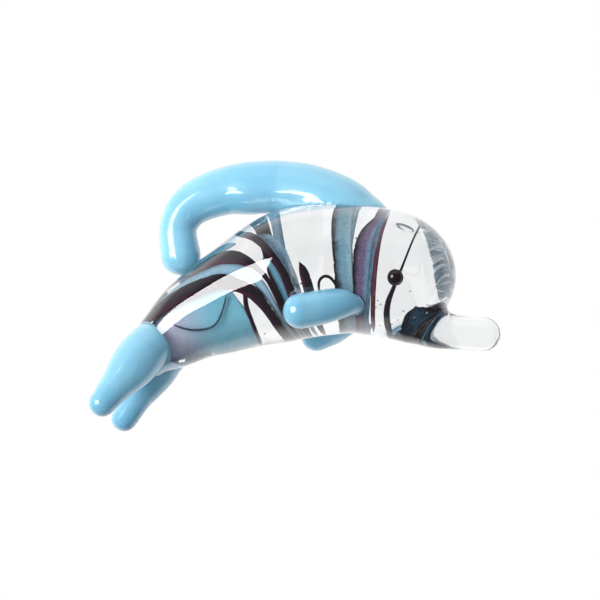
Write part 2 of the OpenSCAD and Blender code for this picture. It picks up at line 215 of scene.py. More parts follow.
@dataclass
class DolphinForm:
    """Surface of the solid glass body, in millimetres: an oval section along an arched line."""

    length: float = 39.5
    thickness: float = 21.4
    arch_rise: float = 8.0
    tail_height: float = 10.4
    beak_reach: float = 14.0
    beak_diameter: float = 5.4
    fluke_reach: float = 7.7
    fluke_tip_diameter: float = 4.3
    nose: float = 1.07
    nose_span: float = 0.27
    profile: list[list[float]] = field(
        default_factory=lambda: [
            [0.00, 0.00, 0.39, 0.39, 0.40],
            [0.10, 0.25, 0.51, 0.53, 0.54],
            [0.20, 0.51, 0.61, 0.67, 0.65],
            [0.30, 0.68, 0.69, 0.77, 0.75],
            [0.42, 0.84, 0.81, 0.87, 0.86],
            [0.53, 0.94, 0.92, 0.95, 0.94],
            [0.64, 1.00, 0.99, 0.99, 0.99],
            [0.76, 0.96, 1.00, 0.98, 1.00],
            [0.88, 0.86, 0.98, 0.96, 1.00],
            [1.00, 0.65, 0.95, 0.95, 1.00],
        ]
    )

    def __post_init__(self) -> None:
        """Work out the places along X from the driving sizes."""
        self.rows = np.array(self.profile)
        reach = self.fluke_reach + self.length + self.beak_reach
        whole = self.fluke_tip_diameter / 2 + reach + self.beak_diameter / 2
        self.fluke_tip_x = self.fluke_tip_diameter / 2 - whole / 2
        self.tail_x = self.fluke_tip_x + self.fluke_reach
        self.head_x = self.tail_x + self.length

    def spine(self, s: np.ndarray) -> np.ndarray:
        """Give points of the centre line for shares s of the body's length.

        Args:
            s: Shares of the length, 0 at the tail and 1 at the head.

        Returns:
            One point for each share, in millimetres.
        """
        p = along(self.rows, s * (len(self.rows) - 1))
        x = self.tail_x + p[..., 0] * self.length
        return np.stack([x, 0 * x, self.tail_height + p[..., 1] * self.arch_rise], -1)

    def heading(self, s: np.ndarray) -> np.ndarray:
        """Give the direction of the centre line."""
        return unit(self.spine(s + 0.01) - self.spine(s - 0.01))

    def skin(self, s: np.ndarray, angle: np.ndarray, inset: np.ndarray | float = 0.0) -> np.ndarray:
        """Give points of the body.

        Args:
            s: Place along the body, 0 at the tail root, over 1 on the round front of the head.
            angle: Degrees from the back, 90 on the right flank and 180 on the belly.
            inset: Depth under the surface.

        Returns:
            The points.
        """
        s, angle = np.broadcast_arrays(np.asarray(s, float), np.asarray(angle, float))
        body_s = np.minimum(s, 1)
        turn = np.radians(90 * np.maximum(s - 1, 0) / self.nose_span)
        half = self.thickness / 2
        p = along(self.rows, body_s * (len(self.rows) - 1)) * half
        a = np.radians(angle)
        high = np.where(np.cos(a) > 0, p[..., 2], p[..., 3]) - inset
        wide = p[..., 4] - inset
        way = self.heading(body_s)
        up = np.stack([-way[..., 2], 0 * way[..., 0], way[..., 0]], -1)
        side = np.array([0.0, 1.0, 0.0])
        point = self.spine(body_s) + (high * np.cos(a) * np.cos(turn))[..., None] * up
        point = point - (wide * np.sin(a) * np.cos(turn))[..., None] * side
        return point + ((self.nose * half - inset) * np.sin(turn))[..., None] * way

    def body_grid(self, inset: float, sides: int, rings: int) -> tuple[np.ndarray, list[tuple[int, ...]]]:
        """Make the closed surface of the body without the beak.

        Args:
            inset: Depth under the surface.
            sides: Points round it.
            rings: Rings from the tail root to the head.

        Returns:
            Points and faces.
        """
        angle = 360 * np.arange(sides) / sides
        end_row = along(self.rows, np.zeros(1))[0] * self.thickness / 2 - inset
        zero = np.zeros(1)
        start, way = self.spine(zero)[0], self.heading(zero)[0]
        up, a = np.array([-way[2], 0, way[0]]), np.radians(angle)
        tail = []
        for turn in np.radians(np.linspace(86, 8, 11)):
            ring = start + end_row[2] * math.cos(turn) * np.cos(a)[:, None] * up
            ring = ring - end_row[4] * math.cos(turn) * np.sin(a)[:, None] * [0, 1, 0]
            tail.append(ring - end_row[4] * math.sin(turn) * way)
        body_s = np.linspace(0, 1, rings)
        nose_s = 1 + self.nose_span * np.sin(np.linspace(0, math.pi / 2, 30)[1:-1])
        s = np.concatenate([body_s, nose_s])[:, None]
        points = np.concatenate([np.array(tail), self.skin(s, angle[None, :], inset)])
        return points.reshape(-1, 3), tube_faces(len(points), sides)


@dataclass
class Rod:
    """A bar of soft glass drawn along a line, with round ends, in millimetres."""

    rows: np.ndarray
    sides: int = 48
    rings_per_row: int = 12

    def rings(self) -> tuple[np.ndarray, np.ndarray]:
        """Work out the bar's rings.

        Returns:
            The rings' points and the way outward at each.
        """
        top = len(self.rows) - 1
        places = np.linspace(0, top, top * self.rings_per_row + 1)
        turns = np.radians(np.linspace(84, 8, 10))
        u = np.concatenate([np.zeros(len(turns)), places, np.full(len(turns), top)])
        turn = np.concatenate([-turns, 0 * places, turns[::-1]])
        p = along(self.rows, u)
        ahead = along(self.rows, np.minimum(u + 0.05, top))[:, :3]
        behind = along(self.rows, np.maximum(u - 0.05, 0))[:, :3]
        way = unit(ahead - behind)
        n = unit(np.cross(np.array([0.0, 1.0, 0.0]), way))
        m = np.cross(way, n)
        a = 2 * np.pi * np.arange(self.sides) / self.sides
        round_it = np.cos(a)[None, :, None] * n[:, None] + np.sin(a)[None, :, None] * m[:, None]
        out = np.cos(turn)[:, None, None] * round_it + np.sin(turn)[:, None, None] * way[:, None]
        radius = p[:, 3][:, None, None]
        return p[:, None, :3] + radius * out, out


# ---------------------------------------------------------------- finishes


def linear(red: int, green: int, blue: int) -> Colour:
    """Turn a screen colour of 0 to 255 into a linear one.

    Args:
        red: Red of the screen colour.
        green: Green of the screen colour.
        blue: Blue of the screen colour.

    Returns:
        The colour as shares of light.
    """

    def one(value: int) -> float:
        """Turn one channel of 0 to 255 into a share of light."""
        share = value / 255
        return share / 12.92 if share <= 0.04045 else ((share + 0.055) / 1.055) ** 2.4

    return one(red), one(green), one(blue)


class NodeTree:
    """Short calls for building one node tree."""

    def __init__(self, tree: bpy.types.NodeTree) -> None:
        """Keep the tree and clear it."""
        self.tree = tree
        tree.nodes.clear()

    def add(self, kind: str, inputs: dict | None = None, **settings: object) -> bpy.types.Node:
        """Add a node.

        Args:
            kind: Its type.
            inputs: Values or sockets for its inputs, by name or number.
            settings: Its properties.

        Returns:
            The node.
        """
        node = self.tree.nodes.new(kind)
        for name, value in settings.items():
            setattr(node, name, value)
        for name, value in (inputs or {}).items():
            if isinstance(value, bpy.types.NodeSocket):
                self.tree.links.new(value, node.inputs[name])
            elif isinstance(value, tuple) and node.inputs[name].type == "RGBA":
                node.inputs[name].default_value = (*value, 1.0)
            else:
                node.inputs[name].default_value = value
        return node

    def math(self, operation: str, a: object, b: object = 0.0, c: object = 0.0) -> bpy.types.NodeSocket:
        """Add a Math node and give its result."""
        return self.add("ShaderNodeMath", {0: a, 1: b, 2: c}, operation=operation).outputs[0]

    def ease(
        self, value: object, low: float, high: float, to_low: float = 0.0, to_high: float = 1.0
    ) -> bpy.types.NodeSocket:
        """Map a value smoothly from low..high to to_low..to_high."""
        places = {"Value": value, "From Min": low, "From Max": high, "To Min": to_low, "To Max": to_high}
        return self.add("ShaderNodeMapRange", places, interpolation_type="SMOOTHSTEP").outputs[0]

    def mix(self, share: object, a: object, b: object) -> bpy.types.NodeSocket:
        """Mix two colours and give the result."""
        node = self.add("ShaderNodeMix", {0: share, 6: a, 7: b}, data_type="RGBA")
        return node.outputs[2]

    def noise(
        self, vector: object, scale: float, detail: float = 2.0, warp: float = 0.0
    ) -> bpy.types.NodeSocket:
        """Add a noise and give its value."""
        places = {"Vector": vector, "Scale": scale, "Detail": detail, "Distortion": warp}
        return self.add("ShaderNodeTexNoise", places).outputs[0]

    def place_group(self, group: bpy.types.NodeTree, values: dict[str, object]) -> bpy.types.Node:
        """Place a shared group with its own values; a tuple is a colour.

        Args:
            group: The group to place.
            values: Its values by the name of the input.

        Returns:
            The placed group node.
        """
        node = self.add("ShaderNodeGroup", node_tree=group)
        for label, value in values.items():
            node.inputs[label].default_value = (*value, 1.0) if isinstance(value, tuple) else value
        return node


def new_group(
    name: str, inputs: dict[str, object], outputs: list[str]
) -> tuple[bpy.types.NodeTree, NodeTree]:
    """Make a shader node group with named sockets.

    Args:
        name: Name of the group.
        inputs: Names and first values; a tuple is a colour.
        outputs: Names; Color is a colour and the others are numbers.

    Returns:
        The group and its builder.
    """
    group = bpy.data.node_groups.new(name, "ShaderNodeTree")
    for label, value in inputs.items():
        kind = "NodeSocketColor" if isinstance(value, tuple) else "NodeSocketFloat"
        socket = group.interface.new_socket(label, in_out="INPUT", socket_type=kind)
        socket.default_value = (*value, 1.0) if isinstance(value, tuple) else value
    for label in outputs:
        kind = "NodeSocketColor" if label == "Color" else "NodeSocketFloat"
        group.interface.new_socket(label, in_out="OUTPUT", socket_type=kind)
    return group, NodeTree(group)


def make_cane_group() -> bpy.types.NodeTree:
    """Build the group for canes: colour across a drawn ribbon, streaks along it and worn edges.

    Returns:
        The finished group.
    """
    places = ("Tail Edge", "Core", "Head Edge", "Start Tint")
    inputs: dict[str, object] = dict.fromkeys(places, (0.1, 0.1, 0.1))
    inputs |= {
        "Start Reach": 0.0,
        "Mottle": 0.5,
        "Fray": 0.2,
        "Density": 0.9,
        "Across Scale": 4.0,
        "Run Scale": 1.0,
    }
    group, make = new_group("drawn_cane", inputs, ["Color", "Alpha", "Height"])
    given = make.add("NodeGroupInput").outputs
    place = make.add("ShaderNodeUVMap", uv_map="drawn").outputs[0]
    parts = make.add("ShaderNodeSeparateXYZ", {0: place})
    across, run = parts.outputs[0], parts.outputs[1]
    wide = make.math("MULTIPLY", across, given["Across Scale"])
    long = make.math("MULTIPLY", run, given["Run Scale"])
    stretched = make.add("ShaderNodeCombineXYZ", {0: wide, 1: long}).outputs[0]
    streak = make.noise(stretched, 0.8, 3.0, 0.6)
    cloud = make.noise(stretched, 2.6, 4.0, 0.4)
    wander = make.math("MULTIPLY", make.math("SUBTRACT", streak, 0.5), given["Fray"])
    shifted = make.math("ADD", across, wander)
    first = make.mix(make.ease(shifted, 0.05, 0.45), given["Tail Edge"], given["Core"])
    body = make.mix(make.ease(shifted, 0.55, 0.95), first, given["Head Edge"])
    reach = make.math("MAXIMUM", given["Start Reach"], 0.01)
    near_start = make.ease(make.math("DIVIDE", run, reach), 0.4, 1.3, 1.0, 0.0)
    tinted = make.mix(near_start, body, given["Start Tint"])
    darker = {"Value": 0.35, "Saturation": 1.1, "Color": tinted}
    dark = make.add("ShaderNodeHueSaturation", darker).outputs[0]
    spots = make.math("MULTIPLY", make.ease(cloud, 0.48, 0.64), given["Mottle"])
    colour = make.mix(spots, tinted, dark)
    edge = make.math("MULTIPLY", make.ease(shifted, -0.04, 0.03), make.ease(shifted, 1.04, 0.97))
    lack = make.math("SUBTRACT", 1.0, given["Density"])
    thin = make.math("MULTIPLY", make.ease(streak, 0.62, 0.42), lack)
    alpha = make.math("MULTIPLY", edge, make.math("SUBTRACT", 1.0, thin))
    make.add("NodeGroupOutput", {"Color": colour, "Alpha": alpha, "Height": cloud})
    return group


def make_melt_group() -> bpy.types.NodeTree:
    """Build the group for opal glass: soft swirls of colour and the slight unevenness of flame work.

    Returns:
        The finished group.
    """
    inputs = {"Tint": (0.2, 0.5, 0.8), "Swirl Tint": (0.1, 0.4, 0.7), "Swirl": 0.3, "Grain": 0.5}
    group, make = new_group("flame_worked", inputs, ["Color", "Roughness", "Height"])
    given = make.add("NodeGroupInput").outputs
    place = make.add("ShaderNodeTexCoord").outputs["Object"]
    broad = make.noise(place, 140.0, 2.0, 1.2)
    fine = make.noise(place, 900.0, 3.0)
    share = make.math("MULTIPLY", make.ease(broad, 0.42, 0.62), given["Swirl"])
    colour = make.mix(share, given["Tint"], given["Swirl Tint"])
    specks = make.math("MULTIPLY", make.ease(fine, 0.66, 0.74), given["Grain"])
    paler = {"Value": 1.25, "Saturation": 0.8, "Color": colour}
    lighter = make.add("ShaderNodeHueSaturation", paler).outputs[0]
    out = {
        "Color": make.mix(specks, colour, lighter),
        "Roughness": make.ease(broad, 0.3, 0.7, 0.30, 0.40),
        "Height": make.math("ADD", broad, make.math("MULTIPLY", fine, 0.05)),
    }
    make.add("NodeGroupOutput", out)
    return group


class Effects:
    """The shared node groups, each built once."""

    def __init__(self) -> None:
        """Build them."""
        self.cane = make_cane_group()
        self.melt = make_melt_group()


def new_material(name: str) -> tuple[bpy.types.Material, NodeTree]:
    """Make an empty node material.

    Args:
        name: Name of the material.

    Returns:
        The material, and short calls for its node tree.
    """
    material = bpy.data.materials.new(name)
    material.use_nodes = True
    return material, NodeTree(material.node_tree)


def let_lamps_through(make: NodeTree, wall: bpy.types.Node, shade: Colour) -> None:
    """End a clear material so that lamp light passes it in a straight line.

    Args:
        make: The material's nodes.
        wall: Its shader.
        shade: What the glass lets through of the lamps.
    """
    through = make.add("ShaderNodeBsdfTransparent", {"Color": shade})
    path = make.add("ShaderNodeLightPath")
    both = make.add(
        "ShaderNodeMixShader",
        {0: path.outputs["Is Shadow Ray"], 1: wall.outputs[0], 2: through.outputs[0]},
    )
    make.add("ShaderNodeOutputMaterial", {0: both.outputs[0]})


@dataclass(frozen=True)
class ClearGlass:
    """Solid clear glass that lets lamp light through to what is cased in it."""

    name: str = "clear_glass"
    tint: Colour = (0.97, 0.985, 0.99)
    shade: Colour = (0.88, 0.9, 0.92)
    ripple: float = 0.02

    def material(self) -> bpy.types.Material:
        """Build the material.

        Returns:
            The finished material.
        """
        material, make = new_material(self.name)
        place = make.add("ShaderNodeTexCoord").outputs["Object"]
        wave = make.noise(place, 190.0, 1.0, 0.5)
        bump = make.add("ShaderNodeBump", {"Strength": self.ripple, "Distance": 0.0006, "Height": wave})
        glass = make.add(
            "ShaderNodeBsdfPrincipled",
            {
                "Base Color": self.tint,
                "Roughness": 0.0,
                "IOR": GLASS_IOR,
                "Transmission Weight": 1.0,
                "Coat Weight": 1.0,
                "Coat Roughness": 0.015,
                "Coat IOR": GLOSS_IOR,
                "Normal": bump.outputs[0],
            },
        )
        let_lamps_through(make, glass, self.shade)
        return material


@dataclass(frozen=True)
class AirBubble:
    """Air caught in the glass: the light turns the other way at its wall."""

    name: str = "air_bubble"

    def material(self) -> bpy.types.Material:
        """Build the material.

        Returns:
            The finished material.
        """
        material, make = new_material(self.name)
        place = make.add("ShaderNodeTexCoord").outputs["Object"]
        film = make.ease(make.noise(place, 2500.0, 1.0), 0.3, 0.7, 0.0, 0.06)
        wall = make.add(
            "ShaderNodeBsdfPrincipled",
            {"Base Color": WHITE, "Roughness": film, "IOR": GLASS_IOR, "Transmission Weight": 1.0},
        )
        let_lamps_through(make, wall, WHITE)
        return material


@dataclass(frozen=True)
class OpalGlass:
    """Opaque coloured glass with a wet gloss."""

    name: str
    tint: Colour
    swirl_tint: Colour
    swirl: float = 0.35
    grain: float = 0.3
    glow: float = 0.25
    under_gloss: float = 0.5

    def material(self, effects: Effects) -> bpy.types.Material:
        """Build the material.

        Args:
            effects: The shared effect groups.

        Returns:
            The finished material.
        """
        material, make = new_material(self.name)
        group = make.place_group(
            effects.melt,
            {"Tint": self.tint, "Swirl Tint": self.swirl_tint, "Swirl": self.swirl, "Grain": self.grain},
        )
        bump = make.add(
            "ShaderNodeBump", {"Strength": 0.10, "Distance": 0.0006, "Height": group.outputs["Height"]}
        )
        glass = make.add(
            "ShaderNodeBsdfPrincipled",
            {
                "Base Color": group.outputs["Color"],
                "Roughness": group.outputs["Roughness"],
                "Subsurface Weight": self.glow,
                "Subsurface Radius": (0.4, 0.9, 1.4),
                "Subsurface Scale": 0.0012,
                "IOR": GLASS_IOR,
                "Specular IOR Level": self.under_gloss,
                "Coat Weight": 1.0,
                "Coat Roughness": 0.03,
                "Coat IOR": GLOSS_IOR,
                "Normal": bump.outputs[0],
            },
        )
        make.add("ShaderNodeOutputMaterial", {0: glass.outputs[0]})
        return material


@dataclass(frozen=True)
class CaneGlass:
    """Coloured glass drawn out thin and cased under clear glass."""

    name: str
    tail_edge: Colour
    core: Colour
    head_edge: Colour
    mottle: float = 0.6
    fray: float = 0.25
    density: float = 0.9
    start_tint: Colour = (0.1, 0.1, 0.1)
    start_reach: float = 0.0
    across_scale: float = 4.0
    run_scale: float = 1.0

    def material(self, effects: Effects) -> bpy.types.Material:
        """Build the material.

        Args:
            effects: The shared effect groups.

        Returns:
            The finished material.
        """
        material, make = new_material(self.name)
        values = {
            "Tail Edge": self.tail_edge,
            "Core": self.core,
            "Head Edge": self.head_edge,
            "Start Tint": self.start_tint,
            "Mottle": self.mottle,
            "Fray": self.fray,
            "Density": self.density,
            "Start Reach": self.start_reach,
            "Across Scale": self.across_scale,
            "Run Scale": self.run_scale,
        }
        group = make.place_group(effects.cane, values)
        bump = make.add(
            "ShaderNodeBump", {"Strength": 0.3, "Distance": 0.0002, "Height": group.outputs["Height"]}
        )
        cane = make.add(
            "ShaderNodeBsdfPrincipled",
            {
                "Base Color": group.outputs["Color"],
                "Alpha": group.outputs["Alpha"],
                "Roughness": 0.6,
                "Specular IOR Level": 0.0,
                "Normal": bump.outputs[0],
            },
        )
        make.add("ShaderNodeOutputMaterial", {0: cane.outputs[0]})
        return material


# ---------------------------------------------------------------- sub-assemblies


def finish_piece(piece: bpy.types.Object, material: bpy.types.Material, slot: str, *nodes: str) -> None:
    """Dress a piece, fix it to the body and let it stand for its CAD nodes.

    Args:
        piece: The piece.
        material: Its material.
        slot: Not used.
        nodes: The CAD nodes that it replaces.
    """
    piece.data.materials.append(material)
    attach(piece, "root")
    if nodes:
        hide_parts(*nodes)
    log.info("%s: %d faces", piece.name, len(piece.data.polygons))


@dataclass
class ClearBody:
    """The clear glass: body, round head and beak melted into one."""

    form: DolphinForm
    cell: float = 0.3
    seam_reach: float = 1.3
    seam_rounds: int = 40
    skin_rounds: int = 3
    beak_spare: float = 0.06
    beak_rows: tuple[tuple[float, float, float], ...] = (
        (0.11, 0.50, 2.12),
        (0.32, 0.32, 1.65),
        (0.50, 0.17, 1.24),
        (0.69, 0.085, 1.02),
        (1.00, 0.00, 1.00),
    )

    def beak(self) -> tuple[np.ndarray, list[tuple[int, ...]]]:
        """Make the beak as a bar from inside the head to its round end.

        Returns:
            Its points in millimetres, and its faces.
        """
        form = self.form
        reach, radius = form.beak_reach - self.beak_spare, form.beak_diameter / 2
        rows = [
            [form.head_x + a * reach, 0, radius + b * reach, c * radius] for a, b, c in self.beak_rows
        ]
        rings, _ = Rod(np.array(rows), sides=96, rings_per_row=24).rings()
        return rings.reshape(-1, 3), tube_faces(len(rings), rings.shape[1])

    def build(self) -> bpy.types.Object:
        """Join body and beak and melt the seam between them into a smooth hollow.

        Returns:
            The clear glass as one piece.
        """
        body_points, body_faces = self.form.body_grid(0.0, 160, 220)
        beak_points, beak_faces = self.beak()
        start = len(body_points)
        shifted = [tuple(k + start for k in face) for face in beak_faces]
        raw = make_object("raw_glass", np.vstack([body_points, beak_points]), body_faces + shifted)
        melt = raw.modifiers.new("melt", "REMESH")
        melt.mode, melt.voxel_size, melt.use_smooth_shade = "VOXEL", self.cell * MM, True
        view = bpy.context.evaluated_depsgraph_get()
        mesh = bpy.data.meshes.new_from_object(raw.evaluated_get(view))
        bpy.data.objects.remove(raw)
        points = points_of(mesh)
        on_body, off_body = nearest(surface(body_points, body_faces), points)
        on_beak, off_beak = nearest(surface(beak_points, beak_faces), points)
        both = np.maximum(np.abs(off_body), np.abs(off_beak))
        seam = 1 - smooth_step(0.4 * self.seam_reach, self.seam_reach, both)
        closer = (np.abs(off_body) < np.abs(off_beak))[:, None]
        points = np.where(closer, on_body, on_beak)
        points = relax(mesh, points, 0.9 * seam, self.seam_rounds)
        points = relax(mesh, points, np.full(len(points), 0.5), self.skin_rounds)
        set_points(mesh, points)
        mesh.polygons.foreach_set("use_smooth", [True] * len(mesh.polygons))
        mesh.materials.clear()
        piece = bpy.data.objects.new("clear_glass", mesh)
        bpy.context.scene.collection.objects.link(piece)
        return piece

    def make(self) -> None:
        """Build the clear glass and dress it."""
        finish_piece(self.build(), ClearGlass().material(), "clear_glass", "body", "beak")


@dataclass
class BlueFins:
    """The hooked dorsal fin, the flippers and the flukes: opaque rods melted onto the body."""

    form: DolphinForm
    sink: float = 0.25
    meniscus_reach: float = 1.1
    dorsal_diameter: float = 9.2
    dorsal_lift: float = 8.5
    dorsal_tip_diameter: float = 6.5
    flipper_diameter: float = 5.6
    flipper_length: float = 9.2
    flipper_lift: float = 2.4
    fluke_spread: float = 13.6
    lumps: float = 0.02
    hook_lumps: float = 0.007
    fluke_diameter: float = 7.4

    def dorsal_rows(self) -> np.ndarray:
        """Give the hook's line: along the back, up, back and down onto it again.

        Returns:
            One row of x, y, z and radius for each place on the line.
        """
        rows = [
            (0.90, -0.26, 0.87), (0.84, -0.02, 1.00), (0.745, 0.26, 0.97), (0.67, 0.46, 0.93),
            (0.595, 0.66, 0.93), (0.51, 0.865, 0.85), (0.43, 1.00, 0.78), (0.375, 0.985, 0.71),
            (0.33, 0.795, 0.66),
        ]
        made = []
        for s, height, thick in rows:
            c = self.form.skin(s, 0.0, -height * self.dorsal_lift)
            made.append([c[0], 0, c[2], thick * self.dorsal_diameter / 2])
        radius = self.dorsal_tip_diameter / 2
        tip = self.form.skin(0.296, 0.0, 0.1 - radius)
        made.append([tip[0], 0, tip[2], radius])
        return np.array(made)

    def flipper_rows(self, side: int, root: float, rows: list[tuple[float, ...]]) -> np.ndarray:
        """Give a flipper's line from its root backward over the flank.

        Args:
            side: 1 for the right flipper and -1 for the left.
            root: Place of the root along the body, as a share of its length.
            rows: Reach, angle round the body, height off the skin and thickness, as shares but for the
                angle.

        Returns:
            One row of x, y, z and radius for each place on the line.
        """
        made = []
        for reach, angle, height, thick in rows:
            s = root - reach * self.flipper_length / self.form.length
            c = self.form.skin(s, side * angle, -height * self.flipper_lift)
            made.append([*c, thick * self.flipper_diameter / 2])
        return np.array(made)

    def fluke_rows(
        self, side: int, root: tuple[float, float, float], swing: float, rows: list[tuple[float, float]]
    ) -> np.ndarray:
        """Give a fluke's line from the tail root down to its tip on the shelf.

        Args:
            side: 1 for the right fluke and -1 for the left.
            root: Offset of the root from the end of the centre line.
            swing: How far forward the tip stands.
            rows: Reach and thickness, as shares.

        Returns:
            One row of x, y, z and radius for each place on the line.
        """
        tip_radius = self.form.fluke_tip_diameter / 2
        start = self.form.spine(np.zeros(1))[0] + np.array([root[0], side * root[1], root[2]])
        tip = np.array([self.form.fluke_tip_x + swing, side * self.fluke_spread / 2, tip_radius])
        made = [
            [*(start + reach * (tip - start)), thick * self.fluke_diameter / 2] for reach, thick in rows
        ]
        return np.array([*made, [*tip, tip_radius]])

    def uneven(self, rows: np.ndarray, seed: int, lumps: float) -> tuple[np.ndarray, np.ndarray]:
        """Draw one fin and press the slow waves of flame work into it.

        Args:
            rows: Its line and radii.
            seed: Start of its own uneven shape.
            lumps: Depth of the unevenness as a share of the radius.

        Returns:
            The rings' points and the way outward at each.
        """
        rings, out = Rod(rows).rings()
        count, sides, _ = rings.shape
        u = np.linspace(0, 1, count)[:, None]
        a = 2 * np.pi * np.arange(sides)[None, :] / sides
        draw = np.random.default_rng(seed)
        phase = draw.uniform(0, 2 * np.pi, 6)
        wave = np.sin(9 * u + 2 * a + phase[0]) + np.sin(17 * u - a + phase[1])
        wave = wave + np.sin(31 * u + 3 * a + phase[2]) * 0.6
        stations = np.arange(len(rows))
        radius = np.interp(np.linspace(0, len(rows) - 1, count), stations, rows[:, 3])
        dip = lumps * radius[:, None] * np.clip(1 - wave / 2.6, 0, 2) / 2
        return rings - dip[..., None] * out, out

    def melt_on(
        self, name: str, rows: np.ndarray, seed: int, collar: float, lumps: float
    ) -> bpy.types.Object:
        """Make one fin, flatten its root on the body and give it a soft collar there.

        Args:
            name: Name of the piece.
            rows: Its line and radii.
            seed: Start of its own uneven shape.
            collar: Reach of the soft collar where it meets the body.
            lumps: Depth of the unevenness as a share of the radius.

        Returns:
            The fin.
        """
        rings, out = self.uneven(rows, seed, lumps)
        count, sides, _ = rings.shape
        points, out = rings.reshape(-1, 3), out.reshape(-1, 3)
        _, off = nearest(surface(*self.form.body_grid(0.0, 96, 120)), points)
        sunk = surface(*self.form.body_grid(self.sink, 96, 120))
        floor_places, depth = nearest(sunk, points)
        normal = unit(points - floor_places) * np.sign(depth)[:, None]
        flat_out = out - (out * normal).sum(1, keepdims=True) * normal
        rise = np.clip(1 - np.maximum(off, 0) / self.meniscus_reach, 0, 1) ** 2
        near = np.clip(1 - np.abs(np.minimum(off, 0)) / self.meniscus_reach, 0, 1)
        points = points + (collar * rise * near)[:, None] * flat_out
        points = np.where((depth < 0)[:, None], floor_places, points)
        return make_object(name, points, tube_faces(count, sides))

    def make(self, effects: Effects) -> None:
        """Build and dress the five blue parts.

        Args:
            effects: The shared effect groups.
        """
        opal = OpalGlass("sky_blue_glass", linear(150, 218, 248), linear(112, 198, 238))
        right = [
            (0, 136, -0.5, 0.70), (0.2, 134, 0.04, 0.83), (0.5, 133, 0.46, 0.95), (0.75, 132, 0.75, 1),
            (1, 131, 1, 1.01),
        ]
        left = [(0, 133, -0.7, 0.75), (0.36, 137, -0.2, 0.82), (0.64, 132, 0.5, 0.9), (1, 130, 0.94, 0.92)]
        fluke_right = [(0, 0.97), (0.2, 1.04), (0.42, 0.98), (0.7, 0.74)]
        fluke_left = [(0, 0.86), (0.22, 0.88), (0.44, 0.78), (0.7, 0.62)]
        lines = {
            "dorsal_fin": self.dorsal_rows(),
            "flipper_right": self.flipper_rows(1, 0.94, right),
            "flipper_left": self.flipper_rows(-1, 0.91, left),
            "fluke_right": self.fluke_rows(-1, (0.5, 3.4, 0.2), 0.0, fluke_right),
            "fluke_left": self.fluke_rows(1, (2.2, 2.0, -0.7), 0.7, fluke_left),
        }
        collars = {"dorsal_fin": 0.4, "fluke_right": 0.1, "fluke_left": 0.3}
        material = opal.material(effects)
        for seed, (node, rows) in enumerate(lines.items()):
            lumps = self.hook_lumps if node == "dorsal_fin" else self.lumps
            piece = self.melt_on(node + "_glass", rows, seed, collars.get(node, 0.15), lumps)
            finish_piece(piece, material, "sky_blue_glass", node)


class Depth(Enum):
    """How deep a cane lies under the skin."""

    OUTER = 0
    MIDDLE = 1
    INNER = 2


